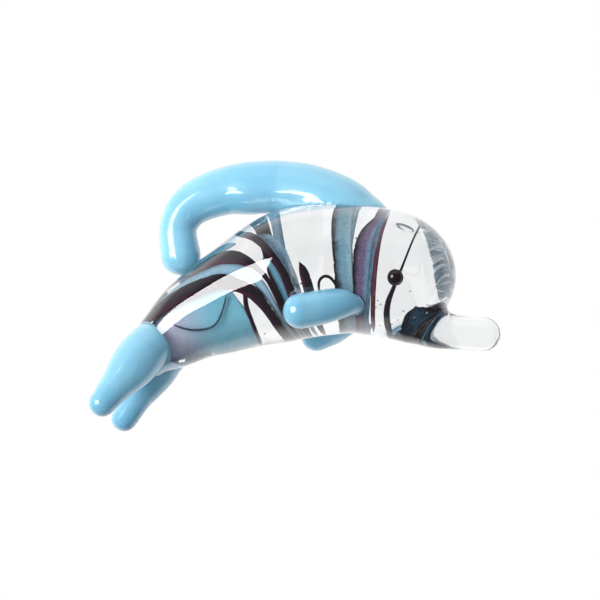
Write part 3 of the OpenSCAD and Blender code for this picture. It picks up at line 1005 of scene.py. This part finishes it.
@dataclass
class Cane:
    """One ribbon of glass: its line on the body, its depth and its finish."""

    node: str
    slot: str
    depth: Depth
    finish: CaneGlass
    line: list[tuple[float, float, float]]
    parts_across: int = 10
    rings_per_row: int = 8
    stands_for_node: bool = True

    def course(self, form: DolphinForm, inset: float, u: np.ndarray) -> tuple[np.ndarray, ...]:
        """Follow the ribbon's line under the skin.

        Args:
            form: The body's surface.
            inset: Depth of the ribbon under the skin.
            u: Stations along the line, counted in rows.

        Returns:
            Place and angle, how each changes for a millimetre across the ribbon, and the run along it.
        """
        rows, probe = np.array(self.line), 0.004
        top = len(rows) - 1
        s, angle, _ = along(rows, u).T
        here = form.skin(s, angle, inset)
        by_s = (form.skin(s + probe, angle, inset) - here) / probe
        by_angle = form.skin(s, angle + 1, inset) - here
        step = along(rows, np.minimum(u + 0.02, top)) - along(rows, np.maximum(u - 0.02, 0))
        way = by_s * step[:, :1] + by_angle * step[:, 1:2]
        side = unit(np.cross(way, np.cross(by_s, by_angle)))
        ahead, round_it = unit(by_s), unit(by_angle)
        lean = (ahead * round_it).sum(1)
        a, b = (side * ahead).sum(1), (side * round_it).sum(1)
        s_across = (a - b * lean) / (1 - lean**2) / np.linalg.norm(by_s, axis=1)
        angle_across = (b - a * lean) / (1 - lean**2) / np.linalg.norm(by_angle, axis=1)
        run = np.concatenate([[0], np.cumsum(np.linalg.norm(np.diff(here, axis=0), axis=1))])
        return s, angle, s_across, angle_across, run

    def build(
        self, form: DolphinForm, first_depth: float, thickness: float, gap: float
    ) -> bpy.types.Object:
        """Make the ribbon with thin round edges and pointed ends.

        Args:
            form: The body's surface.
            first_depth: Depth of the outer layer.
            thickness: Thickness in the middle.
            gap: Clear glass between layers.

        Returns:
            The ribbon, with the share across and the run along it, in millimetres, as its UV map.
        """
        top = len(self.line) - 1
        u = np.linspace(0, top, top * self.rings_per_row + 1)
        outer = first_depth + self.depth.value * (thickness + gap)
        s, angle, s_across, angle_across, run = self.course(form, outer, u)
        draw = np.random.default_rng(sum(ord(c) for c in self.node))
        phase = draw.uniform(0, 2 * np.pi, 4)
        waist = 1 - 0.04 * (1 + np.sin(3.1 * u + phase[0]) * np.sin(1.7 * u + phase[1])) / 2
        ends = np.sqrt(np.clip(np.minimum(u, top - u) / 0.5, 0.02, 1))
        width = along(np.array(self.line), u)[:, 2] * waist * ends
        share = np.linspace(-0.5, 0.5, self.parts_across + 1)
        swell = np.sqrt(np.clip(1 - (2 * share) ** 2, 0.03, 1)) * 0.5
        middle = outer + thickness / 2
        shares = np.concatenate([share, share[::-1]])
        insets = np.concatenate([middle - swell * thickness, middle + swell[::-1] * thickness])
        step = width[:, None] * shares[None, :]
        points = form.skin(
            s[:, None] + s_across[:, None] * step, angle[:, None] + angle_across[:, None] * step, insets
        )
        sides = len(shares)
        name = self.node.replace("ribbon_", "cane_")
        piece = make_object(name, points.reshape(-1, 3), tube_faces(len(u), sides))
        uv = np.stack([np.tile(shares + 0.5, len(u)), np.repeat(run, sides)], 1)
        layer = piece.data.uv_layers.new(name="drawn")
        corners = np.empty(len(piece.data.loops), np.int32)
        piece.data.loops.foreach_get("vertex_index", corners)
        layer.data.foreach_set("uv", uv[corners].astype(np.float32).ravel())
        return piece


@dataclass
class CasedCanes:
    """All the canes that wind through the body under its skin, and grey-blue streaks of painted shade along
    the head's rim.
    """

    form: DolphinForm
    ribbon_depth: float = 1.1
    ribbon_thickness: float = 0.5
    ribbon_gap: float = 0.3

    def finishes(self) -> dict[str, CaneGlass]:
        """Give the finishes of the canes by name.

        Returns:
            Each finish under a plain name.
        """
        plum, ink = linear(32, 16, 34), linear(20, 12, 24)
        wine, mist = linear(74, 30, 50), linear(140, 176, 204)
        teal, pale = linear(112, 168, 194), linear(166, 208, 228)
        lavender, deep = linear(156, 158, 184), linear(84, 124, 146)
        red, rust = linear(122, 60, 72), linear(90, 46, 62)
        return {
            "plum": CaneGlass("plum_cane", wine, plum, ink, 0.8, 0.35, 0.94),
            "thread": CaneGlass("plum_thread", plum, ink, plum, 0.4, 0.1, 0.9),
            "faint": CaneGlass("faint_thread", lavender, plum, deep, 0.3, 0.1, 0.6),
            "red": CaneGlass("red_thread", ink, red, rust, 0.5, 0.2, 0.95),
            "head": CaneGlass(
                "head_band_cane", ink, linear(120, 102, 134), linear(128, 168, 196), 0.5, 0.3, 0.97
            ),
            "pale": CaneGlass("pale_blue_cane", mist, pale, mist, 0.15, 0.25, 0.85),
            "teal": CaneGlass("teal_cane", deep, teal, linear(128, 172, 192), 0.3, 0.3, 0.9),
            "ring": CaneGlass(
                "ring_cane", plum, linear(128, 172, 190), linear(168, 204, 216), 0.3, 0.35, 0.97
            ),
            "lens": CaneGlass("lens_cane", mist, linear(134, 168, 190), mist, 0.1, 0.3, 0.5),
            "chin": CaneGlass(
                "chin_cane", linear(26, 28, 42), linear(56, 88, 116), ink, 1.0, 0.6, 0.95,
                across_scale=7.0, run_scale=1.6,
            ),
            "veil": CaneGlass(
                "veil_cane", linear(124, 190, 214), linear(140, 210, 232), linear(124, 190, 214),
                0.1, 0.3, 0.95, start_tint=linear(190, 192, 214), start_reach=9.0,
            ),
            # rim: painted shade, grey-blue streaks that stand in for the dark refracted edge of the head's
            # rim, not coloured glass.
            "rim": CaneGlass(
                "painted_rim_shade_material", linear(168, 194, 208), linear(96, 136, 160), linear(116, 150, 170),
                1.0, 0.5, 0.4, across_scale=0.7, run_scale=2.2,
            ),
        }

    def canes(self) -> list[Cane]:
        """List the canes with their lines: place along the body, angle round it and width.

        Returns:
            The canes in the order in which they are made.
        """
        look = self.finishes()
        outer, middle, inner = Depth.OUTER, Depth.MIDDLE, Depth.INNER
        dark, clear_blue, blue = "aubergine_glass", "pale_blue_glass", "teal_blue_glass"
        return [
            Cane("ribbon_aubergine_low", dark, outer, look["plum"], [
                (0.01, 5, 1.2), (0.10, 33, 2.6), (0.18, 52, 2.9), (0.28, 67, 3), (0.38, 78, 2.6),
                (0.455, 96, 2.2), (0.505, 112, 2.2), (0.535, 135, 1.6), (0.553, 165, 1.6), (0.57, 205, 1.8),
                (0.585, 245, 2), (0.6, 285, 2), (0.615, 330, 1.2)]),
            Cane("ribbon_aubergine_high", dark, outer, look["plum"], [
                (0.01, -110, 1), (0.07, -55, 1.3), (0.13, -25, 1.6), (0.2, 0, 1.8), (0.27, 20, 2),
                (0.34, 35, 2.3), (0.41, 47, 2.5), (0.465, 59, 2.5), (0.51, 72, 1.8), (0.55, 87, 1.1),
                (0.578, 103, 0.8), (0.59, 130, 0.7), (0.602, 165, 0.7), (0.62, 205, 0.8),
                (0.64, 245, 0.6)]),
            Cane("ribbon_aubergine_waist", dark, outer, look["plum"], [
                (0.12, -165, 1.6), (0.22, -125, 2.2), (0.32, -90, 2.4), (0.4, -60, 2.2), (0.45, -35, 1.6),
                (0.485, -10, 1.1), (0.505, 15, 1), (0.53, 34, 1.2), (0.56, 46, 1.3), (0.59, 60, 1.2),
                (0.617, 76, 1.1), (0.645, 95, 1.2), (0.66, 112, 1.4), (0.672, 140, 1.3), (0.682, 175, 1),
                (0.69, 210, 0.5)]),
            Cane("ribbon_aubergine_fleck", dark, outer, look["plum"], [
                (0.722, 93, 0.4), (0.735, 104, 1.5), (0.745, 120, 1.7), (0.752, 145, 1.4),
                (0.758, 175, 0.9), (0.76, 195, 0.4)]),
            Cane("ribbon_aubergine_curl", dark, outer, look["thread"], [
                (0.785, 124, 0.4), (0.79, 114, 0.45), (0.81, 109.5, 0.5), (0.835, 111, 0.5),
                (0.857, 118, 0.45), (0.87, 127, 0.4)]),
            Cane("ribbon_tail_edge", dark, middle, look["plum"], [
                (0.42, 99, 0.3), (0.455, 100, 0.5), (0.466, 108, 0.7), (0.452, 122, 0.8), (0.445, 145, 0.7),
                (0.438, 175, 0.6), (0.43, 200, 0.4)]),
            Cane("ribbon_tail_thread", dark, middle, look["faint"], [
                (0.15, 92, 0.3), (0.17, 108, 0.35), (0.2, 121, 0.4), (0.25, 129, 0.4), (0.3, 130, 0.35),
                (0.34, 122, 0.35), (0.38, 108, 0.3), (0.4, 99, 0.3)]),
            Cane("ribbon_head_band", dark, outer, look["head"], [
                (0.972, -30, 0.9), (0.973, 0, 0.9), (0.972, 30, 1.1), (0.966, 45, 1.6), (0.955, 60, 2.4),
                (0.95, 75, 2.8), (0.953, 90, 2.9), (0.96, 110, 2.7), (0.966, 135, 2.2), (0.97, 160, 2.2),
                (0.96, 190, 2.4), (0.94, 225, 2.4), (0.92, 265, 2.4), (0.93, 300, 1.8), (0.955, 328, 0.9)]),
            Cane("ribbon_head_red_thread", "red_glass", outer, look["red"], [
                (0.998, 25, 0.4), (1, 60, 0.6), (1.003, 90, 0.75), (1.006, 120, 0.75),
                (1.005, 150, 0.7), (1, 178, 0.4)]),
            Cane("ribbon_head_line", dark, middle, look["thread"], [
                (1.07, -35, 0.3), (1.075, 0, 0.3), (1.085, 30, 0.3), (1.085, 60, 0.3), (1.077, 88, 0.35),
                (1.062, 112, 0.6), (1.045, 135, 0.9), (1.04, 160, 1), (1.045, 185, 0.9), (1.05, 215, 0.4)]),
            Cane("ribbon_pale_blue", clear_blue, middle, look["pale"], [
                (0.01, -18, 1), (0.09, 8, 1.3), (0.2, 34, 1.9), (0.3, 47.5, 2.3), (0.4, 61, 2.4),
                (0.455, 73, 2.2), (0.515, 90, 1.7), (0.55, 110, 1.5), (0.568, 135, 1), (0.582, 165, 0.9),
                (0.6, 205, 1.2), (0.62, 245, 1.4), (0.635, 285, 1.4), (0.65, 330, 0.9)]),
            Cane("ribbon_blue_back", blue, middle, look["teal"], [
                (0.02, -140, 1.4), (0.06, -105, 1.8), (0.1, -76, 2.4), (0.15, -50, 3.0), (0.2, -25, 3.6),
                (0.26, -3, 4.0), (0.32, 12, 3.8), (0.39, 23, 3.2), (0.455, 32, 2.0), (0.5, 40, 0.8)]),
            Cane("ribbon_blue_side", blue, middle, look["teal"], [
                (0.05, -170, 1.8), (0.12, -130, 2.8), (0.2, -95, 3.2), (0.28, -65, 3.2), (0.36, -40, 2.6),
                (0.42, -18, 1.8), (0.455, 0, 0.8)]),
            Cane("ribbon_blue_waist", blue, middle, look["teal"], [
                (0.585, 78, 0.4), (0.605, 88, 1), (0.62, 103, 1.3), (0.632, 118, 1.4), (0.642, 145, 1.2),
                (0.65, 180, 1), (0.66, 215, 0.6)]),
            Cane("ribbon_blue_lens", clear_blue, inner, look["lens"], [
                (0.53, 20, 0.4), (0.565, 36, 0.6), (0.593, 46, 1.2), (0.62, 55, 1.8), (0.643, 67, 2),
                (0.66, 80, 1.8), (0.675, 95, 1.3), (0.69, 112, 1.1), (0.7, 140, 1), (0.71, 175, 0.8),
                (0.715, 210, 0.5)]),
            Cane("ribbon_blue_ring", blue, middle, look["ring"], [
                (0.862, -25, 3.4), (0.862, 0, 3.5), (0.862, 30, 3.5), (0.868, 60, 3.4), (0.882, 90, 3.2),
                (0.895, 115, 3.2), (0.905, 140, 3.6), (0.91, 170, 4.2), (0.895, 205, 4), (0.865, 240, 3.4),
                (0.84, 280, 2.9), (0.85, 322, 2.8)]),
            Cane("ribbon_chin", "navy_glass", outer, look["chin"], [
                (1.12, 140, 1), (1.12, 152, 4), (1.125, 180, 6), (1.12, 208, 4), (1.12, 220, 1)]),
            Cane("ribbon_tail_veil", blue, inner, look["veil"], [
                (0.03, 118, 7), (0.1, 121, 10.5), (0.18, 129, 12.5), (0.3, 144, 14), (0.4, 148, 13.5),
                (0.45, 148, 12)]),
            # The last two are not coloured glass: they are painted shade along the head's rim, where the
            # glass shows its dark surround.
            Cane("rim_streaks_right", blue, outer, look["rim"], [
                (1.06, 14, 1.6), (1.11, 26, 3.0), (1.15, 40, 4.0), (1.19, 60, 4.6), (1.215, 85, 4.6),
                (1.222, 112, 4.6), (1.215, 138, 3.4), (1.2, 155, 1.8)], stands_for_node=False),
            Cane("rim_streaks_left", blue, outer, look["rim"], [
                (1.1, -20, 2.0), (1.14, -36, 3.4), (1.18, -56, 4.4), (1.21, -80, 4.6), (1.21, -108, 4.2),
                (1.19, -136, 2.6)], stands_for_node=False),
        ]

    def make(self, effects: Effects) -> None:
        """Build and dress every cane.

        Args:
            effects: The shared effect groups.
        """
        dressed: dict[str, bpy.types.Material] = {}
        for cane in self.canes():
            name = cane.finish.name
            if name not in dressed:
                dressed[name] = cane.finish.material(effects)
            piece = cane.build(self.form, self.ribbon_depth, self.ribbon_thickness, self.ribbon_gap)
            nodes = [cane.node] if cane.stands_for_node else []
            finish_piece(piece, dressed[name], cane.slot, *nodes)


@dataclass
class Eyes:
    """Two dots of dark glass pressed into the head."""

    form: DolphinForm
    diameter: float = 2.6
    proud: float = 0.52
    place: float = 1.058
    angle: float = 104.0

    def build(self, name: str, side: int) -> bpy.types.Object:
        """Make one eye, a little flattened and not quite round.

        Args:
            name: Name of the piece.
            side: 1 for the right eye and -1 for the left.

        Returns:
            The eye as one piece.
        """
        centre = self.form.skin(self.place, side * self.angle, self.diameter / 2 - self.proud)
        outside = self.form.skin(self.place, side * self.angle, -1.0)
        out = unit(outside - centre)
        n = unit(np.cross(out, np.array([0.0, 0.0, 1.0])))
        m = np.cross(out, n)
        polar = np.radians(np.linspace(3, 177, 30))[:, None]
        round_it = 2 * np.pi * np.arange(40)[None, :] / 40
        radius = self.diameter / 2 * (1 - 0.03 * (1 + np.sin(2 * round_it + side)) / 2)
        ring = np.sin(polar) * radius
        points = (
            centre
            + (ring * np.cos(round_it))[..., None] * n
            + (ring * np.sin(round_it))[..., None] * m
            + (np.cos(polar) * radius)[..., None] * out
        )
        return make_object(name, points.reshape(-1, 3), tube_faces(30, 40))

    def make(self, effects: Effects) -> None:
        """Build and dress both eyes.

        Args:
            effects: The shared effect groups.
        """
        finish = OpalGlass("eye_glass", linear(18, 11, 17), linear(40, 20, 30), 0.6, 0.1, 0.0, 0.0)
        material = finish.material(effects)
        for node, side in (("eye_right", 1), ("eye_left", -1)):
            finish_piece(self.build(node + "_glass", side), material, "aubergine_glass", node)


@dataclass
class Seeds:
    """Small air bubbles in the clear glass, and one flat oval one in the forehead."""

    form: DolphinForm
    count: int = 52
    chin_count: int = 18
    seed: int = 11

    def bubble(self, centre: np.ndarray, axes: np.ndarray) -> tuple[np.ndarray, list[tuple[int, ...]]]:
        """Make one bubble from its centre and its three half axes.

        Args:
            centre: Middle of the bubble.
            axes: One row for each half axis.

        Returns:
            Its points in millimetres, and its faces.
        """
        polar = np.radians(np.linspace(4, 176, 14))[:, None]
        round_it = 2 * np.pi * np.arange(18)[None, :] / 18
        wide, high = np.sin(polar), np.cos(polar)
        ball = np.stack([wide * np.cos(round_it), wide * np.sin(round_it), high + 0 * round_it], -1)
        return (centre + ball @ axes).reshape(-1, 3), tube_faces(14, 18)

    def frame_at(self, s: float, angle: float, inset: float) -> tuple[np.ndarray, np.ndarray]:
        """Give a point under the skin and the directions along, round and out of the body there.

        Args:
            s: Place along the body, as a share of its length.
            angle: Angle round the body in degrees.
            inset: Depth under the skin.

        Returns:
            The point, and the three directions as rows.
        """
        here = self.form.skin(s, angle, inset)
        ahead = unit(self.form.skin(s + 0.01, angle, inset) - here)
        out = unit(self.form.skin(s, angle, inset - 0.5) - here)
        out = unit(out - (out @ ahead) * ahead)
        return here, np.array([ahead, np.cross(out, ahead), out])

    def join(self, name: str, shapes: list[tuple[np.ndarray, list[tuple[int, ...]]]]) -> bpy.types.Object:
        """Join bubbles into one piece whose faces look into the air.

        Args:
            name: Name of the piece.
            shapes: Points and faces of each bubble.

        Returns:
            The joined piece.
        """
        points, faces, start = [], [], 0
        for part, part_faces in shapes:
            points.append(part)
            faces += [tuple(k + start for k in face) for face in part_faces]
            start += len(part)
        piece = make_object(name, np.vstack(points), faces)
        piece.data.flip_normals()
        return piece

    def make(self) -> None:
        """Build and dress the bubbles."""
        draw = np.random.default_rng(self.seed)
        shapes = []
        for k in range(self.count):
            s, angle = draw.uniform(0.35, 1.2), draw.uniform(0, 360)
            if k >= self.count - self.chin_count:
                s, angle = draw.uniform(1.0, 1.2), draw.uniform(110, 165)
            radius = draw.uniform(0.07, 0.17)
            inset = draw.uniform(0.35, 0.85)
            centre, axes = self.frame_at(s, angle, inset)
            shapes.append(self.bubble(centre, axes * radius * np.array([[1.3], [1.0], [1.0]])))
        material = AirBubble().material()
        finish_piece(self.join("seed_bubbles", shapes), material, "clear_glass")
        centre, axes = self.frame_at(1.052, 47.0, 0.75)
        oval = self.bubble(centre, axes * np.array([[1.55], [0.75], [0.2]]))
        finish_piece(self.join("oval_bubble", [oval]), material, "clear_glass")


# ---------------------------------------------------------------- studio


@dataclass
class Studio:
    """Pale floor, white surround, soft lamps and the camera."""

    azimuth: float = 8.0
    elevation: float = -13.5
    roll: float = 9.4
    frame_width: float = 96.0
    distance: float = 800.0
    look_right: float = 30.24
    look_up: float = 19.92
    lamp_distance: float = 0.45
    floor_half: float = 700.0
    side_level: float = 0.12
    back_level: float = 1.02

    def axes(self) -> tuple[np.ndarray, np.ndarray, np.ndarray]:
        """Give the camera's right, up and back directions.

        Returns:
            The three directions, each one long.
        """
        a, e, r = (math.radians(v) for v in (self.azimuth, self.elevation, self.roll))
        right = np.array([math.cos(a), math.sin(a), 0])
        up = np.array([-math.sin(e) * math.sin(a), math.sin(e) * math.cos(a), math.cos(e)])
        back = np.array([math.sin(a) * math.cos(e), -math.cos(a) * math.cos(e), math.sin(e)])
        return math.cos(r) * right - math.sin(r) * up, math.sin(r) * right + math.cos(r) * up, back

    def camera(self) -> None:
        """Place the camera."""
        right, up, back = self.axes()
        corner = np.array([-31.265, 0, 0])
        aim = corner + self.look_right * right + self.look_up * up
        data = bpy.data.cameras.new("camera")
        data.sensor_width = 36.0
        data.lens = data.sensor_width * self.distance / self.frame_width
        data.clip_start, data.clip_end = 0.01, 10.0
        camera = bpy.data.objects.new("camera", data)
        turn = Matrix([list(right), list(up), list(back)]).transposed().to_4x4()
        camera.matrix_world = Matrix.Translation(Vector((aim + self.distance * back) * MM)) @ turn
        bpy.context.scene.collection.objects.link(camera)
        bpy.context.scene.camera = camera

    def lamp(
        self,
        name: str,
        way: tuple[float, float, float],
        size: tuple[float, float],
        watts: float,
        only_on: str = "",
        twist: float = 0.0,
    ) -> None:
        """Place one soft lamp.

        Args:
            name: Its name.
            way: Its direction from the object, to the right, up and toward the viewer.
            size: Its width and height in metres.
            watts: Its power.
            only_on: The one piece it lights, or none for all of them.
            twist: Its turn about its own axis in degrees.
        """
        right, up, back = self.axes()
        out = Vector(way[0] * right + way[1] * up + way[2] * back).normalized()
        data = bpy.data.lights.new(name, "AREA")
        data.shape, data.size, data.size_y = "RECTANGLE", size[0], size[1]
        data.energy = watts
        lamp = bpy.data.objects.new(name, data)
        middle = (cad_low + cad_high) / 2
        own_turn = Matrix.Rotation(math.radians(twist), 4, "Z")
        turn = out.to_track_quat("Z", "Y").to_matrix().to_4x4() @ own_turn
        lamp.matrix_world = Matrix.Translation(middle + out * self.lamp_distance) @ turn
        lamp.visible_transmission = False
        if only_on:
            lit = bpy.data.collections.new(name + "_lit")
            lit.objects.link(bpy.data.objects[only_on])
            lamp.light_linking.receiver_collection = lit
        bpy.context.scene.collection.objects.link(lamp)

    def surround(self) -> None:
        """Make the white surround, whose darker sides give clear glass its edges."""
        world = bpy.data.worlds.new("surround")
        bpy.context.scene.world = world
        world.use_nodes = True
        make = NodeTree(world.node_tree)
        way = make.add("ShaderNodeTexCoord").outputs["Generated"]
        _, _, back = self.axes()
        product = make.add("ShaderNodeVectorMath", {0: way, 1: tuple(back)}, operation="DOT_PRODUCT")
        dot = product.outputs["Value"]
        away = make.math("MULTIPLY", dot, -1.0)
        behind = make.ease(away, -0.05, 0.45, self.side_level, self.back_level)
        path = make.add("ShaderNodeLightPath")
        seen_through = path.outputs["Is Transmission Ray"]
        through = make.math("MULTIPLY", make.ease(dot, 0.15, 0.6, 0.0, 0.85), seen_through)
        before = make.math("MAXIMUM", make.ease(dot, 0.25, 0.9, 0.0, self.side_level), through)
        height = make.add("ShaderNodeSeparateXYZ", {0: way}).outputs[2]
        above = make.ease(height, 0.25, 0.95, 0.0, 0.6)
        level = make.math("MAXIMUM", make.math("MAXIMUM", behind, before), above)
        soft = make.ease(height, -0.1, 0.8, 0.08, 0.5)
        level = make.math("ADD", level, make.math("MULTIPLY", path.outputs["Is Diffuse Ray"], soft))
        seen = path.outputs["Is Camera Ray"]
        strength = make.math("ADD", make.math("MULTIPLY", level, make.math("SUBTRACT", 1.0, seen)), seen)
        light = make.add("ShaderNodeBackground", {"Color": WHITE, "Strength": strength})
        make.add("ShaderNodeOutputWorld", {0: light.outputs[0]})

    def floor(self) -> None:
        """Lay a pale floor that keeps the shadow, and that reflections and a look from below pass; to
        bounce light it is nearly black, which paints shade under the fins.
        """
        half = self.floor_half
        corners = np.array([[-half, -half, 0], [half, -half, 0], [half, half, 0], [-half, half, 0]])
        mesh = bpy.data.meshes.new("floor")
        mesh.from_pydata((corners * MM).tolist(), [], [(0, 1, 2, 3)])
        piece = bpy.data.objects.new("floor", mesh)
        bpy.context.scene.collection.objects.link(piece)
        material, make = new_material("pale_floor")
        place = make.add("ShaderNodeTexCoord").outputs["Object"]
        tone = make.mix(make.noise(place, 30.0, 3.0), (0.86, 0.86, 0.865), (0.9, 0.9, 0.9))
        path = make.add("ShaderNodeLightPath")
        # Painted shade: bounce light sees the floor nearly black, so the fins' undersides go dark; the
        # camera still sees it pale.
        bounce = make.math("MULTIPLY", path.outputs["Is Diffuse Ray"], 0.6)
        dimmed = make.mix(bounce, tone, (0.05, 0.06, 0.07))
        paint = make.add("ShaderNodeBsdfPrincipled", {"Base Color": dimmed, "Roughness": 0.7})
        glow = make.add("ShaderNodeEmission", {"Color": tone, "Strength": 1.16})
        paint = make.add(
            "ShaderNodeMixShader",
            {0: path.outputs["Is Transmission Ray"], 1: paint.outputs[0], 2: glow.outputs[0]},
        )
        gone = make.add("ShaderNodeBsdfTransparent")
        under = make.add("ShaderNodeNewGeometry").outputs["Backfacing"]
        open_to = make.math("MAXIMUM", under, path.outputs["Is Glossy Ray"])
        both = make.add("ShaderNodeMixShader", {0: open_to, 1: paint.outputs[0], 2: gone.outputs[0]})
        make.add("ShaderNodeOutputMaterial", {0: both.outputs[0]})
        mesh.materials.append(material)
        piece.visible_shadow = False

    def make(self) -> None:
        """Set up the whole studio."""
        self.camera()
        self.surround()
        self.floor()
        self.lamp("key_softbox", (-0.72, 0.14, 0.6), (0.26, 0.26), 1.35)
        self.lamp("low_softbox", (-0.6, -0.05, 0.8), (0.05, 0.3), 0.36, "dorsal_fin_glass", 8.0)
        bpy.context.scene.view_settings.view_transform = "Standard"


def main() -> None:
    """Build the dolphin and its studio."""
    logging.basicConfig(level=logging.INFO, format="%(message)s")
    form, effects = DolphinForm(), Effects()
    ClearBody(form).make()
    BlueFins(form).make(effects)
    CasedCanes(form).make(effects)
    Eyes(form).make(effects)
    Seeds(form).make()
    Studio().make()


if __name__ == "__main__":
    main()
